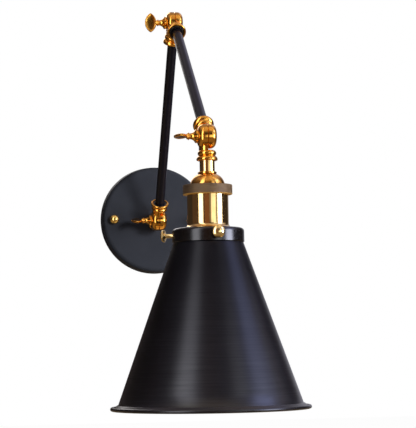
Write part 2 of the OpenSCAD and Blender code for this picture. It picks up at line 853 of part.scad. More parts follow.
// Wall of the shade: neck, shoulder, cone, flared rim and rolled bead
module shade_profile() {
    slope = (shade_foot_r - shade_top_r) / shade_cone_h;
    side = shade_wall * sqrt(1 + slope * slope); // wall measured level
    neck_top = gallery_z + gallery_wall + neck_bead_r;
    polygon([
        [shade_neck_r, neck_top], [shade_neck_r, shade_z - shade_wall],
        [shade_top_r - 0.6, shade_z - shade_wall], [shade_top_r, shade_z],
        [shade_foot_r, shade_foot_z], [rim_r, rim_z - shade_wall / 2],
        [rim_r, rim_z + shade_wall / 2], [shade_foot_r - side * 0.6, shade_foot_z + shade_wall],
        [shade_foot_r - side, shade_foot_z], [shade_top_r - side, shade_z],
        [shade_neck_r - shade_wall, shade_z], [shade_neck_r - shade_wall, neck_top]
    ]);
    translate([shade_neck_r - neck_bead_r / 2, neck_top]) circle(neck_bead_r);
    translate([rim_r, rim_z]) circle(shade_bead_r);
    translate([shade_foot_r + ridge_r / 2, shade_foot_z + ridge_r / 3]) circle(ridge_r);
}

module lamp_shade() {
    color([0.05, 0.05, 0.06]) below_head() rotate_extrude() shade_profile();
}

wall_plate();
mounting_strap();
strap_studs();
ball_nuts();
earth_screw();
base_nipple();
base_washer();
base_locknut();
base_fixed_knuckle();
lower_arm_base_knuckle();
lower_arm_tube();
lower_arm_lock_rings();
lower_arm_elbow_knuckle();
upper_arm_elbow_knuckle();
upper_arm_tube();
upper_arm_lock_rings();
upper_arm_head_knuckle();
base_wing_screw();
elbow_wing_screw();
head_wing_screw();
head_knuckle();
head_nipple();
head_neck();
socket_cap();
cap_locknut();
socket_collar();
socket_body();
socket_insert();
terminal_screws();
screw_shell();
centre_contact();
shade_gallery();
gallery_ring_nut();
lamp_shade();
shade_screw_front();
shade_screw_left();
shade_screw_right();
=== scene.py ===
import bpy
import json
import math
from mathutils import Matrix, Vector


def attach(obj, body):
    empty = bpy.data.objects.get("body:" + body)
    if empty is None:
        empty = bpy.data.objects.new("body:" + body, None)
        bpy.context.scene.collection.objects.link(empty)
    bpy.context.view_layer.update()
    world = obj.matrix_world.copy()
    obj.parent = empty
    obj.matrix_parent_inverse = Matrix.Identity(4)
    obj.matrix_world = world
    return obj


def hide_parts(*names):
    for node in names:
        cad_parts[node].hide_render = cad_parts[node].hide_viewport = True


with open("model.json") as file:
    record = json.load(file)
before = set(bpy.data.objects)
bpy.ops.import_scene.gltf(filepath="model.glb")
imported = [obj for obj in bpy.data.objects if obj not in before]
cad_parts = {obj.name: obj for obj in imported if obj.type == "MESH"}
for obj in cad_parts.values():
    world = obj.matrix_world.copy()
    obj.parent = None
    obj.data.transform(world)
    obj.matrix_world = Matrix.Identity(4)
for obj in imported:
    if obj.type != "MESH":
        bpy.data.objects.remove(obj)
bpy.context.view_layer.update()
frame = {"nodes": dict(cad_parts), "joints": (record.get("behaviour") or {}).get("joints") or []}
print("frame loaded")


# the camera stands a little left of the lamp and below the elbow, and looks slightly up
camera = {
    "place": (-0.2519, -1.8330, -0.1422),
    "yaw": -9.734,
    "pitch": 4.6,
    "roll": -0.93,
    "lens": 138.15,
}


def addCamera(spec):
    yaw, pitch, roll = (math.radians(spec[key]) for key in ("yaw", "pitch", "roll"))
    forward = Vector((-math.sin(yaw) * math.cos(pitch), math.cos(yaw) * math.cos(pitch), math.sin(pitch)))
    right = Vector((math.cos(yaw), math.sin(yaw), 0))
    up = right.cross(forward)
    right, up = math.cos(roll) * right + math.sin(roll) * up, math.cos(roll) * up - math.sin(roll) * right
    bpy.ops.object.camera_add()
    view = bpy.context.object
    view.name = "photoCamera"
    turn = Matrix((right, up, -forward)).transposed().to_4x4()
    view.matrix_world = Matrix.Translation(spec["place"]) @ turn
    view.data.sensor_width = 36
    view.data.lens = spec["lens"]
    view.data.clip_start = 0.05
    view.data.clip_end = 50
    bpy.context.scene.camera = view


addCamera(camera)
print("camera placed")


class Value:
    # one output socket that can be used in sums, each of which adds a Math node
    def __init__(self, finish, socket):
        self.finish = finish
        self.socket = socket

    def calc(self, operation, first, second):
        return self.finish.node("ShaderNodeMath", {"operation": operation}, {0: first, 1: second})

    def __add__(self, other):
        return self.calc("ADD", self, other)

    def __radd__(self, other):
        return self.calc("ADD", other, self)

    def __sub__(self, other):
        return self.calc("SUBTRACT", self, other)

    def __rsub__(self, other):
        return self.calc("SUBTRACT", other, self)

    def __mul__(self, other):
        return self.calc("MULTIPLY", self, other)

    def __rmul__(self, other):
        return self.calc("MULTIPLY", other, self)

    def pick(self, name):
        return Value(self.finish, self.socket.node.outputs[name])


class Finish:
    # a material whose nodes are added one call at a time
    def __init__(self, name):
        self.material = bpy.data.materials.new(name)
        self.material.use_nodes = True
        self.tree = self.material.node_tree
        self.tree.nodes.clear()
        self.end = self.tree.nodes.new("ShaderNodeOutputMaterial")

    def node(self, kind, settings=None, values=None, output=0):
        made = self.tree.nodes.new(kind)
        for key, setting in (settings or {}).items():
            setattr(made, key, setting)
        for key, value in (values or {}).items():
            if isinstance(value, Value):
                self.tree.links.new(value.socket, made.inputs[key])
            else:
                made.inputs[key].default_value = value
        return Value(self, made.outputs[output])

    def coords(self):
        return self.node("ShaderNodeTexCoord", output="Object")

    def split(self):
        parts = self.node("ShaderNodeSeparateXYZ", {}, {"Vector": self.coords()})
        return parts, parts.pick("Y"), parts.pick("Z")

    def height(self):
        return self.split()[2]

    def grid(self, scale, turn=(0, 0, 0), shift=(0, 0, 0)):
        values = {"Vector": self.coords(), "Scale": scale, "Rotation": turn, "Location": shift}
        return self.node("ShaderNodeMapping", {}, values)

    def noise(self, size, detail, roughness, stretch=(1, 1, 1), turn=(0, 0, 0), shift=(0, 0, 0)):
        # size is in metres, and a stretch below 1 draws the pattern out
        grid = self.grid([1 / size * part for part in stretch], turn, shift)
        values = {"Vector": grid, "Scale": 1, "Detail": detail, "Roughness": roughness}
        return self.node("ShaderNodeTexNoise", {}, values)

    def remap(self, value, low, high, newLow=0, newHigh=1):
        values = {"Value": value, "From Min": low, "From Max": high, "To Min": newLow, "To Max": newHigh}
        return self.node("ShaderNodeMapRange", {"clamp": True}, values)

    def mixColour(self, factor, first, second):
        # the colour sockets of the Mix node are 6 and 7, and its colour output is 2
        return self.node("ShaderNodeMix", {"data_type": "RGBA"}, {0: factor, 6: first, 7: second}, 2)

    def scaled(self, colour, amount):
        return self.node("ShaderNodeVectorMath", {"operation": "SCALE"}, {0: colour, "Scale": amount})

    def added(self, first, second):
        return self.node("ShaderNodeVectorMath", {"operation": "ADD"}, {0: first, 1: second})

    def bump(self, height, strength, depth, under=None):
        values = {"Height": height, "Strength": strength, "Distance": depth}
        if under is not None:
            values["Normal"] = under
        return self.node("ShaderNodeBump", {}, values)

    def surface(self, **values):
        names = {
            "colour": "Base Color", "metal": "Metallic", "rough": "Roughness", "normal": "Normal",
            "shine": "IOR", "coat": "Coat Weight", "coatRough": "Coat Roughness", "coatShine": "Coat IOR",
            "grain": "Anisotropic", "grainTurn": "Anisotropic Rotation",
        }
        sockets = {names[key]: value for key, value in values.items()}
        return self.close(self.node("ShaderNodeBsdfPrincipled", {}, sockets))

    def close(self, shader):
        self.tree.links.new(shader.socket, self.end.inputs["Surface"])
        return self.material


def rgb(red, green, blue):
    return (red, green, blue, 1)


# sizes and reliefs are in metres, and grain is the strength of the grooves that spinning left
brassLook = {
    "cast": {
        "bright": rgb(0.95, 0.47, 0.065), "dark": rgb(0.68, 0.29, 0.036), "rough": (0.10, 0.17),
        "size": 0.006, "relief": 0.00003, "grain": 0, "lacquer": 0.3,
    },
    "spun": {
        "bright": rgb(0.93, 0.67, 0.30), "dark": rgb(0.66, 0.40, 0.13), "rough": (0.07, 0.13),
        "size": 0.010, "relief": 0.00005, "grain": 0, "lacquer": 0,
    },
    "dome": {
        "bright": rgb(0.92, 0.47, 0.10), "dark": rgb(0.64, 0.28, 0.04), "rough": (0.16, 0.22),
        "size": 0.008, "relief": 0.00003, "grain": 0.9, "lacquer": 0,
    },
    "bright": {
        "bright": rgb(0.98, 0.70, 0.22), "dark": rgb(0.78, 0.46, 0.10), "rough": (0.20, 0.28),
        "size": 0.004, "relief": 0.00004, "grain": 0, "lacquer": 0,
    },
    "screw": {
        "bright": rgb(1.0, 0.78, 0.36), "dark": rgb(0.84, 0.55, 0.20), "rough": (0.13, 0.20),
        "size": 0.004, "relief": 0.00004, "grain": 0, "lacquer": 0,
    },
    "contact": {
        "bright": rgb(0.86, 0.68, 0.36), "dark": rgb(0.60, 0.42, 0.18), "rough": (0.20, 0.34),
        "size": 0.004, "relief": 0.00006, "grain": 0, "lacquer": 0,
    },
}


def makeBrass(name, look):
    finish = Finish(name)
    cloud = finish.noise(look["size"], 4, 0.6)
    patina = finish.remap(cloud, 0.38, 0.72)
    speck = finish.noise(look["size"] * 0.12, 2, 0.5)
    pits = finish.remap(speck, 0.66, 0.78)
    colour = finish.mixColour(patina * 0.4 + pits * 0.2, look["bright"], look["dark"])
    wipe = finish.noise(look["size"] * 0.5, 3, 0.55, (1, 1, 3), (0.4, 0.2, 0), (0.03, 0.01, 0))
    rough = finish.remap(wipe + patina * 0.3, 0.35, 0.95, look["rough"][0], look["rough"][1])
    swell = finish.noise(look["size"] * 0.35, 2, 0.4)
    normal = finish.bump(swell + pits * 0.4, 0.10, look["relief"])
    # a spun piece has fine grooves around Z, which draw its highlights out along its outline
    return finish.surface(
        colour=colour, metal=1, rough=rough, normal=normal, grain=look["grain"], grainTurn=0.25,
        coat=look["lacquer"], coatRough=0.06, coatShine=1.6)


# the last colour, and the height above the lower edge that it reaches, paint a highlight along the collar's
# lower edge
collarLook = {
    "base": rgb(0.190, 0.115, 0.055), "stain": rgb(0.130, 0.088, 0.055), "streak": rgb(0.29, 0.20, 0.115),
    "paintedHighlight": rgb(0.85, 0.52, 0.14), "paintedHighlightTo": 0.0007, "metal": 0.65, "rough": (0.56, 0.66),
}


def makeAgedBrass(look, low):
    # brown brass brushed around, with a painted highlight along its lower edge at the level low
    finish = Finish("agedBrass")
    brush = finish.noise(0.0007, 3, 0.6, (0.12, 0.12, 1))
    cloud = finish.noise(0.009, 4, 0.6)
    streak = finish.remap(brush, 0.35, 0.7)
    colour = finish.mixColour(finish.remap(cloud, 0.36, 0.68), look["base"], look["stain"])
    colour = finish.mixColour(streak * 0.45, colour, look["streak"])
    # a painted highlight: a bright gold band along the collar's lower edge
    paintedHighlight = finish.remap(finish.height(), low + look["paintedHighlightTo"], low + 0.0002)
    colour = finish.mixColour(paintedHighlight, colour, look["paintedHighlight"])
    rough = finish.remap(streak, 0, 1, look["rough"][0], look["rough"][1])
    return finish.surface(
        colour=colour, metal=look["metal"], rough=rough, normal=finish.bump(brush, 0.25, 0.00006))


# peel is the size of the paint's fine waves, shine its index of refraction, lines the relief that spinning
# left in the sheet, and gloss the two levels between which a shinier coat grows, and its most
paintLook = {
    "plate": {
        "colour": rgb(0.0295, 0.0320, 0.0405), "rough": (0.46, 0.56), "shine": 1.17, "peel": 0.0010,
        "relief": 0.00004, "lines": 0,
    },
    "arm": {
        "colour": rgb(0.0015, 0.0016, 0.0052), "rough": (0.27, 0.34), "shine": 1.42, "peel": 0.0008,
        "relief": 0.00002, "lines": 0,
    },
    "shade": {
        "colour": rgb(0.0046, 0.0045, 0.0072), "rough": (0.30, 0.36), "shine": 1.30, "peel": 0.0009,
        "relief": 0.00001, "lines": 0.00004, "gloss": (-0.070, -0.190, 0.85),
    },
    "gallery": {
        "colour": rgb(0.0028, 0.0026, 0.0034), "rough": (0.20, 0.26), "shine": 1.6, "peel": 0.0009,
        "relief": 0.00001, "lines": 0,
    },
    "ring": {
        "colour": rgb(0.003, 0.003, 0.003), "rough": (0.28, 0.36), "shine": 1.5, "peel": 0.0006,
        "relief": 0.00002, "lines": 0,
    },
}


def makePaint(name, look):
    finish = Finish(name)
    peel = finish.noise(look["peel"], 2, 0.5)
    dust = finish.noise(0.03, 3, 0.5)
    dusty = finish.remap(dust, 0.35, 0.7)
    light = rgb(*(part * 1.35 for part in look["colour"][:3]))
    colour = finish.mixColour(dusty * 0.5, look["colour"], light)
    rough = finish.remap(dust * 0.6 + peel * 0.4, 0.35, 0.7, look["rough"][0], look["rough"][1])
    normal = finish.bump(peel, 0.35, look["relief"])
    coat = 0
    if look["lines"]:
        # fine level lines, and a coat that grows shinier toward the rim, so that the highlights brighten
        # toward it
        lines = finish.noise(0.0011, 3, 0.6, (0.02, 0.02, 1))
        rough = rough + (lines - 0.5) * 0.16
        normal = finish.bump(lines, 0.5, look["lines"], normal)
        top, bottom, most = look["gloss"]
        coat = finish.remap(finish.height(), top, bottom) * (lines * 1.4 + 0.3) * most
    return finish.surface(
        colour=colour, metal=0, rough=rough, shine=look["shine"], normal=normal,
        coat=coat, coatRough=0.28, coatShine=1.46)


def makeZinc():
    finish = Finish("zincSteel")
    cells = finish.grid((400, 400, 400))
    flakes = finish.node("ShaderNodeTexVoronoi", {"feature": "F1"}, {"Vector": cells, "Scale": 1}, "Color")
    tone = finish.node("ShaderNodeSeparateColor", {}, {"Color": flakes})
    streak = finish.noise(0.002, 3, 0.5, (0.3, 1, 1))
    colour = finish.mixColour(tone * 0.6 + streak * 0.3, rgb(0.62, 0.62, 0.60), rgb(0.80, 0.79, 0.76))
    rough = finish.remap(tone + streak * 0.5, 0.2, 1.3, 0.28, 0.44)
    return finish.surface(colour=colour, metal=1, rough=rough, normal=finish.bump(streak, 0.2, 0.00005))


def makeCeramic():
    finish = Finish("glazedCeramic")
    cloud = finish.noise(0.008, 3, 0.5)
    speck = finish.remap(finish.noise(0.0006, 2, 0.5), 0.70, 0.76)
    colour = finish.mixColour(cloud, rgb(0.86, 0.84, 0.78), rgb(0.80, 0.77, 0.70))
    colour = finish.mixColour(speck * 0.5, colour, rgb(0.35, 0.30, 0.24))
    rough = finish.remap(cloud, 0.3, 0.7, 0.16, 0.26)
    return finish.surface(colour=colour, rough=rough, normal=finish.bump(cloud, 0.15, 0.0002))


def mm(value):
    return value * 0.001


def deselectAll():
    if bpy.context.object and bpy.context.object.mode != "OBJECT":
        bpy.ops.object.mode_set(mode="OBJECT")
    bpy.ops.object.select_all(action="DESELECT")


def pickOut(piece):
    deselectAll()
    piece.select_set(True)
    bpy.context.view_layer.objects.active = piece


def arc(acrossAt, upAt, radius, start, end, steps):
    # points of a round corner, in degrees from the level outward direction
    angles = [math.radians(start + (end - start) * i / steps) for i in range(steps + 1)]
    return [(acrossAt + radius * math.cos(a), upAt + radius * math.sin(a)) for a in angles]


def drawOutline(name, points):
    # a plane is merged into one vertex, which is then extruded from point to point
    deselectAll()
    bpy.ops.mesh.primitive_plane_add(size=0.001)
    piece = bpy.context.object
    piece.name = name
    bpy.ops.object.mode_set(mode="EDIT")
    bpy.ops.mesh.select_mode(type="VERT")
    bpy.ops.mesh.select_all(action="SELECT")
    bpy.ops.mesh.merge(type="CENTER")
    last = Vector((0, 0, 0))
    first = True
    for across, up in points:
        here = Vector((mm(across), 0, mm(up)))
        if first:
            bpy.ops.transform.translate(value=here)
            first = False
        elif (here - last).length > 1e-7:
            bpy.ops.mesh.extrude_region_move(TRANSFORM_OT_translate={"value": here - last})
        last = here
    return piece


def turned(name, points, steps):
    # the outline is spun about Z, and its seam and poles are merged
    piece = drawOutline(name, points)
    bpy.ops.mesh.select_all(action="SELECT")
    bpy.ops.mesh.spin(steps=steps, angle=math.tau, center=(0, 0, 0), axis=(0, 0, 1))
    bpy.ops.mesh.select_all(action="SELECT")
    bpy.ops.mesh.remove_doubles(threshold=2e-6)
    bpy.ops.mesh.dissolve_degenerate(threshold=1e-7)
    bpy.ops.mesh.delete_loose(use_verts=True, use_edges=True, use_faces=False)
    bpy.ops.mesh.select_all(action="SELECT")
    bpy.ops.mesh.normals_make_consistent(inside=False)
    bpy.ops.object.mode_set(mode="OBJECT")
    return piece


def smooth(piece, angle=32):
    pickOut(piece)
    bpy.ops.object.shade_smooth_by_angle(angle=math.radians(angle))


def setDown(piece, matrix):
    # the piece goes to its place, which its mesh then takes over
    pickOut(piece)
    piece.matrix_world = matrix @ piece.matrix_world
    bpy.ops.object.transform_apply(location=True, rotation=True, scale=True)


def join(pieces):
    pickOut(pieces[0])
    for other in pieces[1:]:
        other.select_set(True)
    bpy.ops.object.join()
    return bpy.context.object


def copyOf(piece, name):
    pickOut(piece)
    bpy.ops.object.duplicate()
    made = bpy.context.object
    made.name = name
    return made


def unite(piece, other):
    # the second piece becomes part of the first, with one skin around both
    pickOut(piece)
    union = piece.modifiers.new("union", "BOOLEAN")
    union.operation = "UNION"
    union.solver = "EXACT"
    union.object = other
    bpy.ops.object.modifier_apply(modifier=union.name)
    bpy.data.objects.remove(other)
    bpy.ops.object.mode_set(mode="EDIT")
    bpy.ops.mesh.select_mode(type="VERT")
    bpy.ops.mesh.select_all(action="SELECT")
    bpy.ops.mesh.remove_doubles(threshold=1e-6)
    bpy.ops.mesh.normals_make_consistent(inside=False)
    bpy.ops.object.mode_set(mode="OBJECT")


def roundOff(piece, width, segments, angle):
    pickOut(piece)
    bevel = piece.modifiers.new("edges", "BEVEL")
    bevel.width = width
    bevel.segments = segments
    bevel.limit_method = "ANGLE"
    bevel.angle_limit = math.radians(angle)
    bpy.ops.object.modifier_apply(modifier=bevel.name)


def selectFaces(piece, test):
    pickOut(piece)
    bpy.ops.object.mode_set(mode="EDIT")
    bpy.ops.mesh.select_mode(type="FACE")
    bpy.ops.mesh.select_all(action="DESELECT")
    bpy.ops.object.mode_set(mode="OBJECT")
    for polygon in piece.data.polygons:
        polygon.select = test(polygon)
    bpy.ops.object.mode_set(mode="EDIT")


def paint(piece, material):
    piece.data.materials.clear()
    piece.data.materials.append(material)


def finishPiece(piece, body, nodes, material):
    paint(piece, material)
    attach(piece, body)
    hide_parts(*nodes)


# places taken from the frame
joints = {joint["name"]: joint for joint in frame["joints"]}
basePivot = Vector(joints["base_pivot"]["pos_m"])
elbowPivot = Vector(joints["elbow_pivot"]["pos_m"])
headPivot = Vector(joints["head_pivot"]["pos_m"])


def pointing(place, direction):
    # local Z runs along the direction, and local X stays the lamp's X
    up = Vector(direction).normalized()
    side = Vector((1, 0, 0))
    back = up.cross(side)
    turn = Matrix((side, back, up)).transposed().to_4x4()
    return Matrix.Translation(place) @ turn


lowerWay = (elbowPivot - basePivot).normalized()
upperWay = (headPivot - elbowPivot).normalized()
fromWall = pointing((0, 0, 0), (0, -1, 0))
baseOut = pointing(basePivot, (0, 1, 0))
lowerUp = pointing(basePivot, lowerWay)
lowerDown = pointing(elbowPivot, -lowerWay)
upperUp = pointing(elbowPivot, upperWay)
upperDown = pointing(headPivot, -upperWay)
belowHead = pointing(headPivot, (0, 0, -1))

castBrass = makeBrass("castBrass", brassLook["cast"])
spunBrass = makeBrass("spunBrass", brassLook["spun"])
domeBrass = makeBrass("domeBrass", brassLook["dome"])
brightBrass = makeBrass("brightBrass", brassLook["bright"])
screwBrass = makeBrass("screwBrass", brassLook["screw"])
contactBrass = makeBrass("contactBrass", brassLook["contact"])
platePaint = makePaint("platePaint", paintLook["plate"])
armPaint = makePaint("armPaint", paintLook["arm"])
shadePaint = makePaint("shadePaint", paintLook["shade"])
galleryPaint = makePaint("galleryPaint", paintLook["gallery"])
ringPaint = makePaint("ringPaint", paintLook["ring"])
zincSteel = makeZinc()
ceramic = makeCeramic()
print("finishes made")


# wall plate: a pan whose side leans in by draft, with its front edge rounded, in mm like all pieces
plate = {"radius": 60, "depth": 18, "wall": 1.2, "edge": 4.5, "draft": 1.2, "lip": 0.3}


def makePlate(spec):
    radius, depth, wall, edge, lip = (spec[key] for key in ("radius", "depth", "wall", "edge", "lip"))
    corner = depth - edge
    across = radius - spec["draft"] - edge
    half = radius / 2
    points = [(radius - lip, 0), (radius, lip), (across + edge, corner)]
    points += arc(across, corner, edge, 0, 90, 12)
    points += [(half, depth), (0, depth), (0, depth - wall), (half, depth - wall)]
    points += arc(across, corner, edge - wall, 90, 0, 8)
    points += [(radius - wall, lip), (radius - wall + lip, 0), (radius - lip, 0)]
    piece = turned("wallPlate", points, 160)
    setDown(piece, fromWall)
    smooth(piece)
    finishPiece(piece, "wall_mount", ["wall_plate"], platePaint)


makePlate(plate)


# ball nuts: a ball on a short round foot, with rise from the plate to the ball's centre
ballNut = {"radius": 5.3, "foot": 4.13, "footHeight": 1.2, "rise": 3.975, "spacing": 93.4, "lip": 0.2}


def makeBallNuts(spec):
    foot, high, lip = spec["foot"], spec["footHeight"], spec["lip"]
    start = math.degrees(math.asin((high - spec["rise"]) / spec["radius"]))
    points = [(0, 0), (foot - lip, 0), (foot, lip), (foot, high - lip / 2)]
    points += arc(0, spec["rise"], spec["radius"], start, 90, 20)
    nut = turned("ballNuts", points, 48)
    other = copyOf(nut, "ballNutOther")
    for piece, side in ((nut, -1), (other, 1)):
        setDown(piece, fromWall @ Matrix.Translation((side * mm(spec["spacing"] / 2), 0, mm(plate["depth"]))))
    nuts = join([nut, other])
    smooth(nuts, 45)
    finishPiece(nuts, "wall_mount", ["ball_nuts"], brightBrass)


makeBallNuts(ballNut)
print("wall plate and ball nuts made")


# one half of a swivel joint: gap and half are how far its inner and outer face are from the joint's middle,
# and beadAt, mouth and recess are distances from the joint's axis
casting = {
    "disc": 11.3, "half": 8.4, "edge": 5.4, "gap": 0.05, "groove": 0.57, "stem": 7.4, "stemLength": 15.4,
    "bead": 8.55, "beadRound": 2.85, "beadAt": 12.8, "cup": 9.75, "cupRound": 3.7,
    "mouth": 22.5, "lip": 1.1, "recess": 19.1, "recessRadius": 7.75,
}


def makeDisc(name, spec, side):
    disc, edge, gap, groove = spec["disc"], spec["edge"], spec["gap"], spec["groove"]
    points = [(0, gap), (disc - groove, gap), (disc, gap + groove)]
    points += arc(disc - edge, spec["half"] - edge, edge, 0, 90, 14)
    points += [(0, spec["half"])]
    piece = turned(name, points, 112)
    setDown(piece, Matrix.Rotation(math.radians(90 * side), 4, "Y"))
    return piece


def makeStem(spec, side):
    # a rod cut along its length, so that it stays on its own side
    deselectAll()
    length = mm(spec["stemLength"])
    bpy.ops.mesh.primitive_cylinder_add(
        vertices=96, radius=mm(spec["stem"]), depth=length, location=(0, 0, length / 2))
    stem = bpy.context.object
    bpy.ops.object.transform_apply(location=True)
    bpy.ops.object.mode_set(mode="EDIT")
    bpy.ops.mesh.select_all(action="SELECT")
    bpy.ops.mesh.bisect(
        plane_co=(side * mm(spec["gap"]), 0, 0), plane_no=(side, 0, 0), use_fill=True, clear_inner=True)
    bpy.ops.object.mode_set(mode="OBJECT")
    return stem


def makeCup(spec):
    # a bead below, then a flared cup with a round lip and a recess for the lock ring
    bead, beadRound, beadAt = spec["bead"], spec["beadRound"], spec["beadAt"]
    lip, mouth, inner, floor = spec["lip"], spec["mouth"], spec["recessRadius"], spec["recess"]
    points = [(0, beadAt)]
    points += arc(bead - beadRound, beadAt + beadRound, beadRound, -90, 53, 18)
    points += arc(spec["cup"] - spec["cupRound"], mouth - lip, spec["cupRound"], -68, 0, 12)
    points += arc(spec["cup"] - lip, mouth - lip, lip, 12, 90, 6)
    points += [(inner + 0.35, mouth), (inner + 0.1, mouth - 0.1), (inner, mouth - 0.4)]
    points += [(inner, floor), (0, floor)]
    return turned("cup", points, 112)


def makeHalf(name, spec, side):
    half = makeDisc(name, spec, side)
    stem = makeStem(spec, side)
    cup = makeCup(spec)
    unite(half, stem)
    unite(half, cup)
    smooth(half, 30)
    return half


halfPlaces = (
    ("baseFixedKnuckle", 1, baseOut, "wall_mount", "base_fixed_knuckle"),
    ("lowerArmBaseKnuckle", -1, lowerUp, "lower_arm", "lower_arm_base_knuckle"),
    ("lowerArmElbowKnuckle", -1, lowerDown, "lower_arm", "lower_arm_elbow_knuckle"),
    ("upperArmElbowKnuckle", 1, upperUp, "upper_arm", "upper_arm_elbow_knuckle"),
    ("upperArmHeadKnuckle", 1, upperDown, "upper_arm", "upper_arm_head_knuckle"),
    ("headKnuckle", -1, belowHead, "head", "head_knuckle"),
)
leftHalf = makeHalf("leftHalf", casting, -1)
rightHalf = makeHalf("rightHalf", casting, 1)
for name, side, place, body, node in halfPlaces:
    piece = copyOf(rightHalf if side > 0 else leftHalf, name)
    setDown(piece, place)
    finishPiece(piece, body, [node], castBrass)
bpy.data.objects.remove(leftHalf)
bpy.data.objects.remove(rightHalf)
print("swivel joints made")


# arm tubes, whose ends stand inside the cups at a distance from the joints' axes
tube = {"radius": 5, "wall": 1, "end": 14.1, "lip": 0.2, "rings": 6}


def makeTube(name, spec, length, place, body, node):
    outer, inner, lip, rings = spec["radius"], spec["radius"] - spec["wall"], spec["lip"], spec["rings"]
    low, high = spec["end"], length - spec["end"]
    points = [(outer - lip, low), (outer, low + lip)]
    points += [(outer, low + (high - low) * i / rings) for i in range(1, rings)]
    points += [(outer, high - lip), (outer - lip, high), (inner, high), (inner, low), (outer - lip, low)]
    piece = turned(name, points, 64)
    setDown(piece, place)
    smooth(piece)
    finishPiece(piece, body, [node], armPaint)


lockRing = {"inner": 5.05, "outer": 7.3, "low": 19.1, "height": 3, "edge": 0.7, "lip": 0.4}


def makeLockRings(name, spec, places, body, node):
    inner, outer, low, edge, lip = (spec[key] for key in ("inner", "outer", "low", "edge", "lip"))
    top = low + spec["height"]
    points = [(inner, low), (outer, low), (outer, top - edge)]
    points += arc(outer - edge, top - edge, edge, 0, 90, 5)
    points += [(inner + lip, top), (inner, top - lip), (inner, low)]
    first = turned(name, points, 64)
    second = copyOf(first, name + "Second")
    setDown(first, places[0])
    setDown(second, places[1])
    rings = join([first, second])
    smooth(rings)
    finishPiece(rings, body, [node], ringPaint)


lowerLength = (elbowPivot - basePivot).length * 1000
upperLength = (headPivot - elbowPivot).length * 1000
makeTube("lowerArmTube", tube, lowerLength, lowerUp, "lower_arm", "lower_arm_tube")
makeTube("upperArmTube", tube, upperLength, upperUp, "upper_arm", "upper_arm_tube")
makeLockRings("lowerArmLockRings", lockRing, (lowerUp, lowerDown), "lower_arm", "lower_arm_lock_rings")
makeLockRings("upperArmLockRings", lockRing, (upperUp, upperDown), "upper_arm", "upper_arm_lock_rings")
print("arms made")


# wing screws: a bell on the joint's face, a waist with a ring, and a leaf-shaped wing turned about X;
# bell and waist levels are measured from the face, and length is where the wing begins
wingScrew = {
    "face": 8.5, "bell": 6.25, "bellEdge": 2.2, "waist": 2.7, "waistAt": 7.3, "ring": 0.75, "ringAt": 8.45,
    "length": 9.8, "shank": 2.5, "shankTo": 6.25,
    "turns": {"base": 104, "elbow": 0, "head": 88},
}
wing = {
    "length": 12, "width": 20.2, "thick": 2.4, "tipCut": 0.3, "round": 0.8,
    # each step into the wing's face: scale across, scale along, depth
    "dish": ((0.95, 0.96, 0), (0.92, 0.94, 0.22), (0.90, 0.92, 0.1)),
}


def makeWing(spec):
    # a leaf of two arcs with round ends is filled and thickened, and both faces are dished
    length, width = spec["length"], spec["width"]
    bend = (width * width + length * length) / (4 * length)
    middle = bend - length / 2
    end = width / 2 - spec["tipCut"]
    tip = math.asin((bend * bend - middle * middle - end * end) / (2 * middle * end))
    side = math.degrees(math.atan2(end * math.cos(tip), middle + end * math.sin(tip)))
    points = arc(-middle, 0, bend, -side, side, 22) + [(0, end)]
    points += arc(middle, 0, bend, 180 - side, 180 + side, 22) + [(0, -end)]
    leaf = drawOutline("wing", points)
    bpy.ops.mesh.select_all(action="SELECT")
    bpy.ops.mesh.edge_face_add()
    bpy.ops.mesh.extrude_region_move(TRANSFORM_OT_translate={"value": (0, mm(spec["thick"]), 0)})
    bpy.ops.mesh.select_all(action="SELECT")
    bpy.ops.transform.translate(value=(0, -mm(spec["thick"] / 2), 0))
    bpy.ops.mesh.normals_make_consistent(inside=False)
    bpy.ops.object.mode_set(mode="OBJECT")
    roundOff(leaf, mm(spec["round"]), 4, 50)
    for way in (1, -1):
        # the broad face on this side
        selectFaces(leaf, lambda face: face.normal.y * way > 0.99 and face.area > mm(5) ** 2)
        for across, along, depth in spec["dish"]:
            bpy.ops.mesh.extrude_region_move()
            bpy.ops.transform.resize(value=(across, 1, along))
            bpy.ops.transform.translate(value=(0, -way * mm(depth), 0))
        bpy.ops.object.mode_set(mode="OBJECT")
    return leaf


def makeShank(spec):
    # it runs through the joint, from inside the bell to shankTo on the far side of the middle plane
    start, end = -spec["face"] - 0.05, spec["shankTo"]
    deselectAll()
    bpy.ops.mesh.primitive_cylinder_add(
        vertices=48, radius=mm(spec["shank"]), depth=mm(end - start),
        location=(mm((start + end) / 2), 0, 0), rotation=(0, math.pi / 2, 0))
    bpy.ops.object.transform_apply(location=True, rotation=True)
    return bpy.context.object


def makeWingScrew(spec):
    bell, waist, waistAt = spec["bell"], spec["waist"], spec["waistAt"]
    fall = bell - 0.4 - waist
    bend = (fall * fall + (waistAt - spec["bellEdge"]) ** 2) / (2 * fall)
    points = [(0, 0), (bell - 0.45, 0), (bell - 0.12, 0.12), (bell, 0.45), (bell, 1.6), (bell - 0.04, 1.95)]
    points += arc(waist + bend, waistAt, bend, -114, -180, 16)
    points += arc(waist, spec["ringAt"], spec["ring"], -80, 80, 8)
    points += [(waist, 9.4), (waist * 0.9, 10.2), (1.2, 11), (0, 11.2)]
    screw = turned("wingScrew", points, 72)
    onFace = Matrix.Translation((-mm(spec["face"]), 0, 0))
    setDown(screw, onFace @ Matrix.Rotation(math.radians(-90), 4, "Y"))
    leaf = makeWing(wing)
    setDown(leaf, onFace @ Matrix.Translation((-mm(spec["length"] + wing["length"] / 2), 0, 0)))
    unite(screw, leaf)
    unite(screw, makeShank(spec))
    smooth(screw, 30)
    return screw


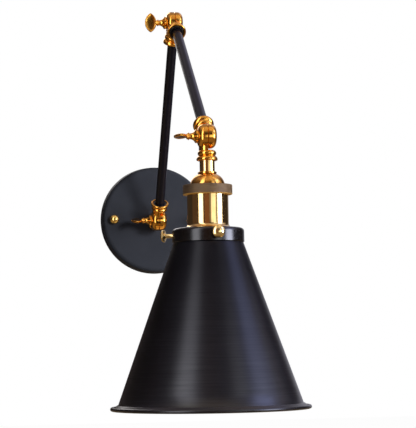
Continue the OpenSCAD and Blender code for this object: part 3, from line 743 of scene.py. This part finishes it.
wingModel = makeWingScrew(wingScrew)
for name, pivot in (("base", basePivot), ("elbow", elbowPivot), ("head", headPivot)):
    piece = copyOf(wingModel, name + "WingScrew")
    turn = Matrix.Rotation(math.radians(wingScrew["turns"][name]), 4, "X")
    setDown(piece, Matrix.Translation(pivot) @ turn)
    finishPiece(piece, name + "_wing_screw", [name + "_wing_screw"], castBrass)
bpy.data.objects.remove(wingModel)
print("wing screws made")


# lampholder, with its levels measured down from the head pivot
neck = {"radius": 6.9, "bore": 5, "top": 19.1, "end": 32.7, "foot": 7.3, "footEnd": 21.8}
cap = {
    "radius": 15.9, "bore": 5.2, "top": 32.7, "step": 8.6, "stepHeight": 2, "ledge": 0.8, "floor": 36.22,
    "sink": 0.8, "skirt": 4.4, "wall": 1,
}
collar = {"radius": 22.6, "top": 44.8, "height": 8.8, "edge": 0.6, "shelf": 5.2, "play": 0.05}
holder = {"radius": 18.9, "end": 84.3, "foot": 3.4, "lip": 0.8, "wall": 1}


def makeNeck(spec):
    radius, bore, top, end, foot, footEnd = (
        spec[key] for key in ("radius", "bore", "top", "end", "foot", "footEnd"))
    points = [(bore, top), (foot, top), (foot, footEnd), (foot - 0.3, footEnd + 0.3)]
    points += [(radius, footEnd + 0.3), (radius, 25), (radius, 29), (radius, end), (bore, end), (bore, top)]
    piece = turned("neckTube", points, 72)
    setDown(piece, belowHead)
    smooth(piece)
    finishPiece(piece, "head", ["head_neck"], spunBrass)


def makeCap(spec):
    # a short step, then a dome whose arc meets the cap's side and ends under the step's ledge
    side, bore, top, step, wall = (spec[key] for key in ("radius", "bore", "top", "step", "wall"))
    stepEnd = top + spec["stepHeight"]
    level = collar["top"] + spec["sink"]
    skirtEnd = collar["top"] + spec["skirt"]
    rise = level - stepEnd
    inward = side - step + spec["ledge"]
    radius = (rise * rise + inward * inward) / (2 * inward)
    reach = math.degrees(math.asin((rise + 0.1) / radius))
    innerReach = math.degrees(math.asin((level - spec["floor"]) / (radius - wall)))
    points = [(bore, top), (step - 0.35, top), (step, top + 0.35)]
    points += [(step, stepEnd - 0.5), (step - 0.25, stepEnd - 0.15)]
    points += arc(side - radius, level, radius, -reach, 0, 24)
    points += [(side, skirtEnd), (side - wall, skirtEnd)]
    points += arc(side - radius, level, radius - wall, 0, -innerReach, 16)
    points += [(bore, spec["floor"]), (bore, top)]
    piece = turned("socketCap", points, 96)
    setDown(piece, belowHead)
    smooth(piece)
    finishPiece(piece, "head", ["socket_cap"], domeBrass)


def makeCollar(spec):
    # it clears the cap and the holder by play, and rests on the holder's top with its shelf
    outer, edge, top = spec["radius"], spec["edge"], spec["top"]
    end, shelf = top + spec["height"], top + spec["shelf"]
    capHole, holderHole = cap["radius"] + spec["play"], holder["radius"] + spec["play"]
    points = [(capHole, top), (outer - edge, top)]
    points += arc(outer - edge, top + edge, edge, -80, 0, 5)
    points += arc(outer - edge, end - edge, edge, 0, 90, 5)
    points += [(holderHole, end), (holderHole, shelf), (capHole, shelf), (capHole, top)]
    piece = turned("socketCollar", points, 128)
    setDown(piece, belowHead)
    smooth(piece)
    agedBrass = makeAgedBrass(collarLook, headPivot.z - mm(end))
    finishPiece(piece, "head", ["socket_collar"], agedBrass)


def makeHolder(spec):
    outer, end, foot, lip = spec["radius"], spec["end"], spec["foot"], spec["lip"]
    top, inner = collar["top"] + collar["shelf"], outer - spec["wall"]
    points = [(inner, top), (outer, top), (outer, 60), (outer, 68), (outer, 76)]
    points += arc(outer + foot, end - lip - foot, foot, 180, 95, 12)
    points += [(outer + foot, end - lip + 0.15), (outer + foot, end), (inner, end), (inner, top)]
    piece = turned("socketBody", points, 128)
    setDown(piece, belowHead)
    smooth(piece, 40)
    finishPiece(piece, "head", ["socket_body"], spunBrass)


makeNeck(neck)
makeCap(cap)
makeCollar(collar)
makeHolder(holder)


# screw shell for the bulb: a plain sleeve with a thin wavy thread wound inside it
screwShell = {
    "radius": 13.4, "wall": 0.8, "lining": 0.35, "hole": 8.04, "top": 85.3, "length": 25,
    "pitch": 3.63, "depth": 1, "threadMiddle": 13.48, "threadFrom": 1.4, "threadWall": 0.3, "waves": 14,
}


def makeThread(spec):
    # one pitch of the wall is drawn wavy and wound down the shell
    points = []
    for i in range(spec["waves"] + 1):
        part = i / spec["waves"]
        across = spec["threadMiddle"] + math.cos(part * math.tau) * spec["depth"] / 2
        points.append((across, spec["top"] + spec["threadFrom"] + spec["pitch"] * part))
    thread = drawOutline("screwShell", points)
    pickOut(thread)
    wind = thread.modifiers.new("wind", "SCREW")
    wind.axis = "Z"
    wind.screw_offset = mm(spec["pitch"])
    wind.iterations = int((spec["length"] - 2 * spec["threadFrom"]) / spec["pitch"])
    wind.steps = 72
    wind.render_steps = 72
    wind.use_merge_vertices = True
    bpy.ops.object.modifier_apply(modifier=wind.name)
    wall = thread.modifiers.new("wall", "SOLIDIFY")
    wall.thickness = mm(spec["threadWall"])
    wall.offset = 0
    bpy.ops.object.modifier_apply(modifier=wall.name)
    return thread


def makeScrewShell(spec):
    hole, top, wall = spec["hole"], spec["top"], spec["wall"]
    end, outer, inner = top + spec["length"], spec["radius"] + wall, spec["radius"] + spec["lining"]
    points = [(hole, top), (outer, top), (outer, end), (inner + 0.2, end), (inner, end - 0.3)]
    points += [(inner, top + wall), (hole, top + wall), (hole, top)]
    sleeve = turned("screwSleeve", points, 96)
    shell = join([sleeve, makeThread(spec)])
    shell.name = "screwShell"
    setDown(shell, belowHead)
    smooth(shell)
    finishPiece(shell, "head", ["screw_shell"], contactBrass)


makeScrewShell(screwShell)
print("lampholder made")


# gallery: a ring with a rounded top edge, its top level with the lampholder's foot
gallery = {"radius": 32.75, "top": 84.3, "height": 12.8, "edge": 3.2, "wall": 1.2, "hole": 17.9}


def makeGallery(spec):
    outer, top, edge, wall, hole = (spec[key] for key in ("radius", "top", "edge", "wall", "hole"))
    end = top + spec["height"]
    points = [(hole, top + 0.2), (hole + 0.2, top), (24, top)]
    points += arc(outer - edge, top + edge, edge, -90, 0, 14)
    points += [(outer, end - 0.35), (outer - 0.35, end), (outer - wall + 0.3, end), (outer - wall, end - 0.3)]
    points += arc(outer - edge, top + edge, edge - wall, 0, -90, 10)
    points += [(hole, top + wall), (hole, top + 0.2)]
    piece = turned("shadeGallery", points, 144)
    setDown(piece, belowHead)
    smooth(piece)
    finishPiece(piece, "head", ["shade_gallery"], galleryPaint)


# shade: the neck stands in the gallery, and the foot is the wide end of the cone, where the rim flares out
shade = {
    "neck": 28, "neckTop": 86.4, "neckBead": 0.9, "shoulder": 0.7,
    "top": 32.05, "coneTop": 98, "foot": 83.9, "coneHeight": 145.5, "wall": 0.8,
    "ridge": 0.9, "rimWidth": 5.2, "rimFall": 0.55, "bead": 1.8,
}


def makeShade(spec):
    narrow, neckTop, top, foot = spec["neck"], spec["neckTop"], spec["top"], spec["foot"]
    high, wall, bend, ridge = spec["coneHeight"], spec["wall"], spec["shoulder"], spec["ridge"]
    topAt, footAt = spec["coneTop"], spec["coneTop"] + high
    rim, rimAt = foot + spec["rimWidth"], footAt + spec["rimWidth"] * spec["rimFall"]
    # the wall measured level across the sloping sheet
    side = wall * math.hypot(1, (foot - top) / high)
    # outside, from the neck's bead down to the rim's
    points = arc(narrow - 0.45, neckTop, spec["neckBead"], 200, 395, 14)
    points += [(narrow, neckTop + 1.4), (narrow, topAt - 1.5)]
    points += arc(narrow + bend, topAt - 1.5, bend, 180, 90, 4)[1:]
    points += [(top - 0.6, topAt - 0.8), (top - 0.2, topAt - 0.5), (top, topAt)]
    points += [(top + (foot - top) * i / 12, topAt + high * i / 12) for i in range(1, 12)]
    points += [(foot - 0.25, footAt - 0.7), (foot + 0.1, footAt - 0.35)]
    points += arc(foot + ridge * 0.55, footAt + 0.35, ridge, -140, -50, 6)
    points += [(foot + 1.7, footAt + 0.35), (foot + 2.8, footAt + 0.95), (rim - 1.9, rimAt - 1.3)]
    points += arc(rim, rimAt, spec["bead"], -150, 175, 24)
    # inside, back up to the neck
    points += [(rim - 2, rimAt - 0.2), (foot + 1.5, footAt + 1.6), (foot - 0.4, footAt + 0.9)]
    points += [(foot - side + (top - foot) * i / 8, footAt - high * i / 8) for i in range(8)]
    points += [(top - side, topAt), (narrow - wall, topAt), (narrow - wall, neckTop + 1.2), points[0]]
    piece = turned("lampShade", points, 192)
    setDown(piece, belowHead)
    smooth(piece, 28)
    finishPiece(piece, "head", ["lamp_shade"], shadePaint)


makeGallery(gallery)
makeShade(shade)


# thumb screws: tip and headAt are distances from the shade's axis, and back the thickness of the head's edge
thumbScrew = {
    "shank": 1.9, "tip": 28.3, "boss": 2.85,
    "headAt": 41.95, "head": 5.7, "height": 3.8, "back": 1.33,
}


def makeThumbScrew(spec):
    at, radius, back = spec["headAt"], spec["head"], spec["back"]
    shank, tip, boss = spec["shank"], spec["tip"], spec["boss"]
    dome = spec["height"] - back
    bend = (radius * radius + dome * dome) / (2 * dome)
    reach = math.degrees(math.asin(min(1, (radius - 0.12) / bend)))
    points = [(0, tip), (shank - 0.4, tip), (shank, tip + 0.4), (shank, at - 1.6)]
    points += [(shank + 0.2, at - 1.1), (boss, at - 0.5), (boss + 0.3, at)]
    points += arc(radius - back / 2, at + back / 2, back / 2, -90, 60, 8)
    points += arc(0, at + spec["height"] - bend, bend, 90 - reach, 90, 14)[1:]
    screw = turned("thumbScrew", points, 64)
    smooth(screw, 35)
    return screw


thumbModel = makeThumbScrew(thumbScrew)
for side in ("front", "right", "left"):
    # each axis and level comes from the frame, and the shade's axis is below the head pivot
    joint = joints["shade_screw_" + side + "_turn"]
    way = Vector(joint["axis"]).normalized()
    level = Vector((0, 0, 1))
    across = level.cross(way)
    turn = Matrix((across, level, way)).transposed().to_4x4()
    centre = Vector((headPivot.x, headPivot.y, joint["pos_m"][2]))
    piece = copyOf(thumbModel, "shadeScrew" + side.capitalize())
    setDown(piece, Matrix.Translation(centre) @ turn)
    finishPiece(piece, "shade_screw_" + side, ["shade_screw_" + side], screwBrass)
bpy.data.objects.remove(thumbModel)
print("gallery, shade and its screws made")


# solids of the frame that stay as they are
kept = {
    zincSteel: (
        "mounting_strap", "strap_studs", "base_nipple", "base_washer", "base_locknut",
        "head_nipple", "cap_locknut"),
    contactBrass: ("earth_screw", "terminal_screws", "centre_contact"),
    spunBrass: ("gallery_ring_nut",),
    ceramic: ("socket_insert",),
}
for material, names in kept.items():
    for name in names:
        paint(frame["nodes"][name], material)
print("kept solids painted")


# studio, in metres, degrees and watts
studio = {
    "floorDrop": 1.6,
    "floorWide": 60,
    "floorTone": 0.8,
    "floorGlow": 0.86,
    "roomCentre": (0, -0.36, 0),
    "roomRadius": 1.55,
    "cameraSide": -9.7,
    # brightness of the dark walls by elevation: straight below, below, level and overhead
    "walls": ((0.075, 0.050, 0.030), (0.26, 0.185, 0.11), (0.040, 0.031, 0.029), (0.34, 0.29, 0.33)),
    # soft boxes: start and end to the right of the camera, lowest and highest elevation, brightness
    "panels": (
        (-96, -56, -16, 24, (0.04, 0.02, 0.01)),
        (-53, -25, -28, 25, (3.1, 3.1, 3.3)),
        (-50, -20, 25, 44, (2.6, 2.6, 2.95)),
        (-52, -26, 44, 84, (1.1, 1.1, 0.9)),
        (-20, 24, 40, 58, (0.26, 0.20, 0.10)),
        (26, 50, 40, 72, (0.40, 0.38, 0.28)),
        (-21, 10, -12, 30, (0.16, 0.06, 0.02)),
        (8, 17, -16, 6, (0.55, 0.48, 0.40)),
        (16, 46, -10, 7, (2.0, 2.0, 1.9)),
        (44, 56, -10, 7, (0.42, 0.40, 0.36)),
        (31, 53, 8, 28, (1.30, 1.32, 1.35)),
        (32, 60, 28, 38, (0.5, 0.5, 0.58)),
        (56, 84, -10, 11, (10.5, 11, 13.5)),
        (58, 100, 12, 28, (0.55, 0.6, 1.0)),
        (62, 98, 28, 42, (2.3, 2.6, 4.7)),
        (66, 90, 44, 84, (0.8, 0.8, 0.75)),
        (-115, 140, 46, 97, (0.21, 0.135, 0.035)),
        (122, 168, 36, 58, (0.3, 0.3, 0.5)),
        (92, 118, 10, 36, (0.40, 0.36, 0.36)),
        (146, 184, -12, 44, (0.4, 0.4, 0.46)),
        (-178, -150, 14, 46, (2.6, 2.5, 2.45)),
        (-176, 195, -110, -77, (0.56, 0.42, 0.28)),
        (80, 186, -74, -48, (0.58, 0.44, 0.30)),
    ),
    # degrees over which a panel's sides fade in, and half of those for its lower and upper edge
    "blur": (4, 5, 7),
    "keyLight": {"place": (1.05, -2.22, 0.36), "aim": (0, -0.1, 0.0), "size": 0.5, "power": 38},
    "sideLight": {"place": (0.45, -0.20, 0.05), "aim": (0, 0, 0.0), "size": 0.25, "power": 2.4},
    "fillLight": {"place": (-1.9, -1.7, 0.9), "aim": (0, -0.25, 0.0), "size": 1.3, "power": 0.8},
    "skyLevel": 0.15,
}


def makeFloor(spec):
    deselectAll()
    bpy.ops.mesh.primitive_plane_add(size=spec["floorWide"], location=(0, 0, -spec["floorDrop"]))
    floor = bpy.context.object
    floor.name = "floor"
    finish = Finish("paleFloor")
    # it glows only where it is seen, also in a reflection, and from below it is clear
    path = finish.node("ShaderNodeLightPath", output="Is Camera Ray")
    seen = path.calc("MAXIMUM", path, path.pick("Is Glossy Ray"))
    seen = path.calc("MAXIMUM", seen, path.pick("Is Transmission Ray"))
    tone = spec["floorTone"]
    matt = finish.node("ShaderNodeBsdfDiffuse", {}, {"Color": rgb(tone, tone, tone)})
    glow = finish.node("ShaderNodeEmission", {}, {"Color": rgb(1, 1, 1), "Strength": spec["floorGlow"]})
    both = finish.node("ShaderNodeAddShader", {}, {0: matt, 1: glow})
    lit = finish.node("ShaderNodeMixShader", {}, {0: seen, 1: matt, 2: both})
    clear = finish.node("ShaderNodeBsdfTransparent")
    under = finish.node("ShaderNodeNewGeometry", output="Backfacing")
    paint(floor, finish.close(finish.node("ShaderNodeMixShader", {}, {0: under, 1: lit, 2: clear})))


def makeRoom(spec):
    # the panels and dark walls that the brass reflects: no camera ray, shadow or other light meets them
    deselectAll()
    bpy.ops.mesh.primitive_uv_sphere_add(segments=48, ring_count=24, radius=spec["roomRadius"])
    room = bpy.context.object
    room.name = "studioRoom"
    room.location = spec["roomCentre"]
    finish = Finish("studioWalls")
    across, ahead, up = finish.split()
    degree = math.degrees(1)
    turn = across.calc("ARCTAN2", across, ahead * -1) * degree - spec["cameraSide"]
    sine = up * (1 / spec["roomRadius"])
    rise = finish.node("ShaderNodeMath", {"operation": "ARCSINE"}, {0: sine}) * degree
    # four bands of wall that fade into each other
    deep, low, level, high = spec["walls"]
    light = finish.scaled(deep, finish.remap(rise, -50, -66))
    lowBand = finish.remap(rise, -8, -28) * finish.remap(rise, -66, -50)
    light = finish.added(light, finish.scaled(low, lowBand))
    levelBand = finish.remap(rise, -28, -8) * finish.remap(rise, 60, 20)
    light = finish.added(light, finish.scaled(level, levelBand))
    light = finish.added(light, finish.scaled(high, finish.remap(rise, 20, 60)))
    sideBlur, lowBlur, highBlur = spec["blur"]
    for start, end, bottom, top, brightness in spec["panels"]:
        wide = finish.remap(turn, start, start + sideBlur) * finish.remap(turn, end, end - sideBlur)
        tall = finish.remap(rise, bottom - lowBlur, bottom + lowBlur)
        tall = tall * finish.remap(rise, top + highBlur, top - highBlur)
        light = finish.added(light, finish.scaled(brightness, wide * tall))
    paint(room, finish.close(finish.node("ShaderNodeEmission", {}, {"Color": light, "Strength": 1})))
    room.visible_camera = False
    room.visible_diffuse = False
    room.visible_transmission = False
    room.visible_volume_scatter = False
    room.visible_shadow = False


def addLight(name, spec):
    deselectAll()
    bpy.ops.object.light_add(type="AREA", location=spec["place"])
    lamp = bpy.context.object
    lamp.name = name
    lamp.rotation_euler = (Vector(spec["aim"]) - Vector(spec["place"])).to_track_quat("-Z", "Y").to_euler()
    lamp.data.size = spec["size"]
    lamp.data.energy = spec["power"]
    lamp.visible_glossy = False


def makeSky(spec):
    # white where it is seen, also in a reflection, and a weak even light on the lamp
    world = bpy.data.worlds.new("studioSky")
    world.use_nodes = True
    bpy.context.scene.world = world
    tree = world.node_tree
    tree.nodes.clear()
    path = tree.nodes.new("ShaderNodeLightPath")
    mix = tree.nodes.new("ShaderNodeMixShader")
    end = tree.nodes.new("ShaderNodeOutputWorld")
    seen = path.outputs["Is Camera Ray"]
    for ray in ("Is Glossy Ray", "Is Transmission Ray"):
        either = tree.nodes.new("ShaderNodeMath")
        either.operation = "MAXIMUM"
        tree.links.new(seen, either.inputs[0])
        tree.links.new(path.outputs[ray], either.inputs[1])
        seen = either.outputs[0]
    tree.links.new(seen, mix.inputs[0])
    for slot, level in ((1, spec["skyLevel"]), (2, 1)):
        background = tree.nodes.new("ShaderNodeBackground")
        background.inputs["Color"].default_value = rgb(1, 1, 1)
        background.inputs["Strength"].default_value = level
        tree.links.new(background.outputs[0], mix.inputs[slot])
    tree.links.new(mix.outputs[0], end.inputs["Surface"])


makeFloor(studio)
makeRoom(studio)
for name in ("keyLight", "sideLight", "fillLight"):
    addLight(name, studio[name])
makeSky(studio)
bpy.context.scene.view_settings.view_transform = "Standard"
print("studio lit")
